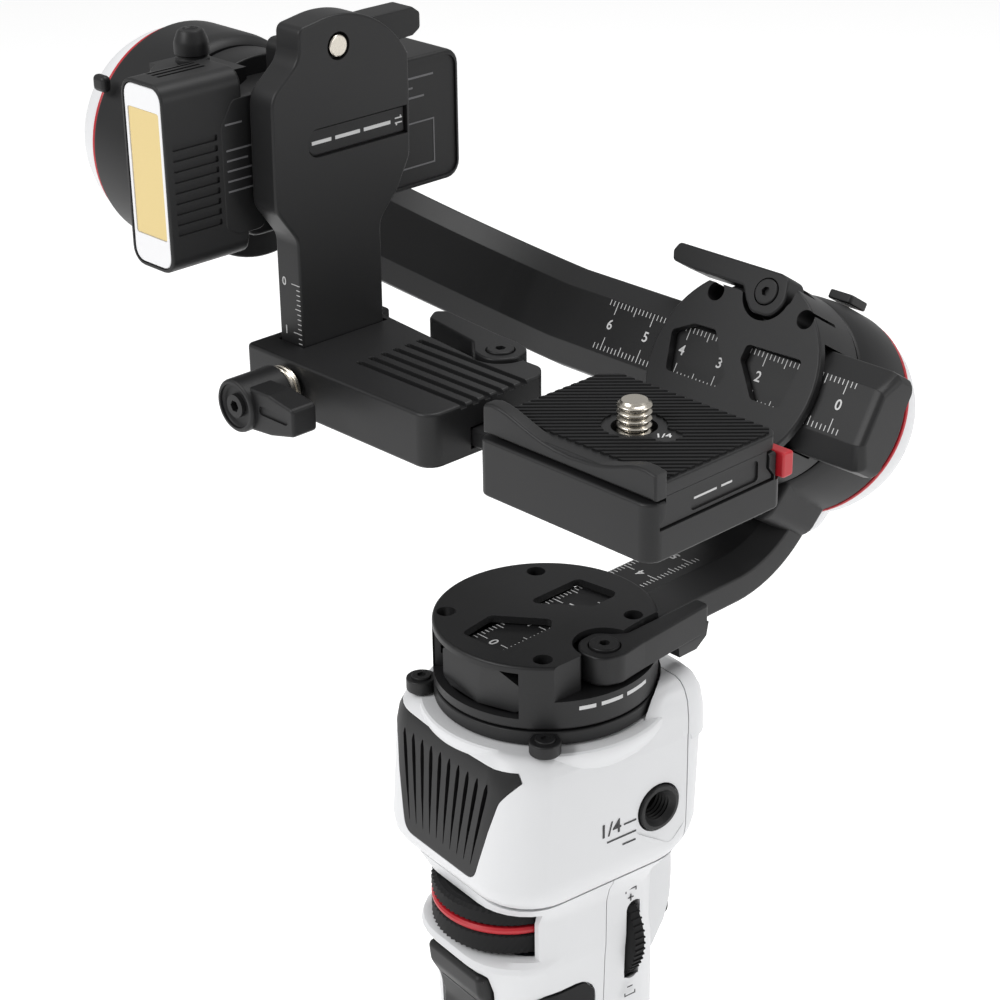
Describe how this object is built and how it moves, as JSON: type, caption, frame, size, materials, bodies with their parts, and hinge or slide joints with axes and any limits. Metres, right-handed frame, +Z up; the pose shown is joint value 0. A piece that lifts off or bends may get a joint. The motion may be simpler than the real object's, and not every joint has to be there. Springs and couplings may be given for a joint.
{
  "type": "handheld camera gimbal",
  "caption": "Handheld motorised camera stabiliser: a white grip and head carrying black pan, roll and tilt arms with sliding scales, a small light and a quick-release camera platform.",
  "frame": {"origin": "centre of the flat underside of the grip, on the pan axis", "axes": "+Z up the pan axis; -Y the way the camera looks; +X along the roll arm, away from the tilt motor"},
  "size_m": [0.1597, 0.1285, 0.2851],
  "materials": {
    "white_shell": "satin",
    "black_plastic": "fine grain",
    "black_anodised": "bead-blasted and anodised black",
    "soft_rubber": "matt",
    "red_trim": "satin",
    "bare_steel": "turned",
    "light_frame_grey": "satin",
    "warm_light": "frosted",
    "display": "polished",
    "circuit_board": "satin",
    "battery": "satin sleeve",
    "brass": "turned"
  },
  "bodies": {
    "handle": {"grip_front_shell": "white_shell", "grip_rear_shell": "white_shell", "head_shell": "white_shell", "head_rear_cover": "white_shell", "vent_grille": "black_plastic", "control_panel": "black_plastic", "display_window": "display", "grip_pad_right": "soft_rubber", "grip_pad_left": "soft_rubber", "base_cap": "black_plastic", "tripod_insert": "brass", "battery_pack": "battery", "main_board": "circuit_board", "charging_port_cover": "soft_rubber", "expansion_port": "black_plastic", "pan_stator": "black_plastic"},
    "wheel": {"control_wheel": "soft_rubber", "control_wheel_line": "red_trim"},
    "dial": {"side_dial": "soft_rubber"},
    "trigger_key": {"trigger": "black_plastic"},
    "power_key": {"power_button": "black_plastic"},
    "stick": {"joystick": "black_plastic"},
    "record_key": {"record_button": "red_trim"},
    "menu_key": {"menu_button": "black_plastic"},
    "pan_rotor": {"pan_clamp": "black_anodised", "pan_shaft": "bare_steel"},
    "pan_lock_lever": {"pan_lever": "black_plastic"},
    "pan_link": {"pan_arm": "black_anodised", "roll_motor_housing": "black_plastic", "roll_seal_ring": "red_trim", "roll_motor_cap": "white_shell"},
    "roll_lock": {"roll_lock_tab": "black_plastic"},
    "roll_rotor": {"roll_clamp": "black_anodised", "roll_shaft": "bare_steel"},
    "roll_lock_lever": {"roll_lever": "black_plastic"},
    "roll_link": {"roll_arm": "black_anodised", "tilt_motor_housing": "black_plastic", "tilt_seal_ring": "red_trim", "tilt_motor_cap": "white_shell"},
    "tilt_lock": {"tilt_lock_tab": "black_plastic"},
    "tilt_rotor": {"tilt_clamp_block": "black_plastic", "tilt_shaft": "bare_steel", "light_housing": "black_plastic", "light_frame": "light_frame_grey", "light_panel": "warm_light"},
    "brightness_dial": {"light_dial": "black_plastic"},
    "tilt_lock_lever": {"tilt_lever": "black_plastic"},
    "camera_upright": {"tilt_plate": "black_anodised", "tilt_stop_pin": "bare_steel"},
    "camera_platform": {"platform": "black_anodised", "height_washer": "bare_steel"},
    "height_lock": {"height_knob": "black_plastic"},
    "platform_lock_lever": {"platform_lever": "black_plastic"},
    "release_base": {"quick_release_base": "black_anodised"},
    "release_key": {"release_button": "red_trim"},
    "camera_plate": {"quick_release_plate": "black_anodised"},
    "mount_screw": {"camera_screw": "bare_steel"}
  },
  "joints": [
    {"name": "pan_axis", "type": "hinge", "parent": "handle", "child": "pan_rotor", "pos_m": [0, 0, 0.17], "axis": [0, 0, 1], "continuous": true},
    {"name": "pan_balance", "type": "slide", "parent": "pan_rotor", "child": "pan_link", "axis": [0, 1, 0], "range_m": [-0.01, 0.012]},
    {"name": "roll_axis", "type": "hinge", "parent": "pan_link", "child": "roll_rotor", "pos_m": [0.001, 0.0521, 0.2144], "axis": [0, -0.8434, 0.5373], "range_deg": [-30, 30]},
    {"name": "roll_balance", "type": "slide", "parent": "roll_rotor", "child": "roll_link", "axis": [1, 0, 0], "range_m": [-0.015, 0.015]},
    {"name": "tilt_axis", "type": "hinge", "parent": "roll_link", "child": "tilt_rotor", "pos_m": [-0.095, 0.0008, 0.2525], "axis": [1, 0, 0], "range_deg": [-120, 120]},
    {"name": "tilt_balance", "type": "slide", "parent": "tilt_rotor", "child": "camera_upright", "axis": [0, 1, 0], "range_m": [-0.01, 0.01]},
    {"name": "height_balance", "type": "slide", "parent": "camera_upright", "child": "camera_platform", "axis": [0, 0, 1], "range_m": [-0.006, 0.018]},
    {"name": "platform_reach", "type": "slide", "parent": "camera_platform", "child": "release_base", "axis": [1, 0, 0], "range_m": [-0.011, 0.015]},
    {"name": "plate_release", "type": "slide", "parent": "release_base", "child": "camera_plate", "axis": [1, 0, 0], "range_m": [0, 0.03]},
    {"name": "camera_screw_turn", "type": "hinge", "parent": "camera_plate", "child": "mount_screw", "pos_m": [0.022, 0.0006, 0.2205], "axis": [0, 0, 1], "continuous": true},
    {"name": "pan_lever_pivot", "type": "hinge", "parent": "pan_rotor", "child": "pan_lock_lever", "pos_m": [0.0162, -0.0006, 0.1767], "axis": [0, 0, 1], "range_deg": [-80, 0]},
    {"name": "roll_lever_pivot", "type": "hinge", "parent": "roll_rotor", "child": "roll_lock_lever", "pos_m": [0.0024, 0.06102, 0.2284], "axis": [0, -0.8434, 0.5373], "range_deg": [-80, 0]},
    {"name": "tilt_lever_pivot", "type": "hinge", "parent": "tilt_rotor", "child": "tilt_lock_lever", "pos_m": [-0.066, 0.0056, 0.2769], "axis": [1, 0, 0], "range_deg": [0, 80]},
    {"name": "platform_lever_pivot", "type": "hinge", "parent": "camera_platform", "child": "platform_lock_lever", "pos_m": [-0.0264, 0.0144, 0.2198], "axis": [0, 0, 1], "range_deg": [-70, 0]},
    {"name": "height_knob_turn", "type": "hinge", "parent": "camera_platform", "child": "height_lock", "pos_m": [-0.0524, -0.0255, 0.2164], "axis": [0, 1, 0], "range_deg": [-90, 90]},
    {"name": "roll_lock_slide", "type": "slide", "parent": "pan_link", "child": "roll_lock", "axis": [0, -0.8434, 0.5373], "range_m": [0, 0.004]},
    {"name": "tilt_lock_slide", "type": "slide", "parent": "roll_link", "child": "tilt_lock", "axis": [1, 0, 0], "range_m": [0, 0.004]},
    {"name": "brightness_turn", "type": "hinge", "parent": "tilt_rotor", "child": "brightness_dial", "pos_m": [-0.0808, -0.014, 0.2765], "axis": [0, 0, 1], "continuous": true},
    {"name": "control_wheel_turn", "type": "hinge", "parent": "handle", "child": "wheel", "pos_m": [-0.00113, -0.00923, 0.1215], "axis": [0, 0, 1], "continuous": true},
    {"name": "side_dial_turn", "type": "hinge", "parent": "handle", "child": "dial", "pos_m": [0.00852, 0.00701, 0.1118], "axis": [0.1219, 0.9925, 0], "continuous": true},
    {"name": "trigger_pull", "type": "slide", "parent": "handle", "child": "trigger_key", "axis": [0.1219, 0.9925, 0], "range_m": [0, 0.0025], "stiffness_N_per_m": 400, "springref_m": -0.001},
    {"name": "power_press", "type": "slide", "parent": "handle", "child": "power_key", "axis": [0.9925, -0.1219, 0], "range_m": [0, 0.0008], "stiffness_N_per_m": 400, "springref_m": -0.0005},
    {"name": "joystick_press", "type": "slide", "parent": "handle", "child": "stick", "axis": [-0.1219, -0.9925, 0], "range_m": [0, 0.0006], "stiffness_N_per_m": 400, "springref_m": -0.0005},
    {"name": "record_press", "type": "slide", "parent": "handle", "child": "record_key", "axis": [-0.1219, -0.9925, 0], "range_m": [0, 0.0008], "stiffness_N_per_m": 400, "springref_m": -0.0005},
    {"name": "menu_press", "type": "slide", "parent": "handle", "child": "menu_key", "axis": [-0.1219, -0.9925, 0], "range_m": [0, 0.0008], "stiffness_N_per_m": 400, "springref_m": -0.0005},
    {"name": "plate_release_press", "type": "slide", "parent": "release_base", "child": "release_key", "axis": [-1, 0, 0], "range_m": [0, 0.0015], "stiffness_N_per_m": 400, "springref_m": -0.0005}
  ]
}
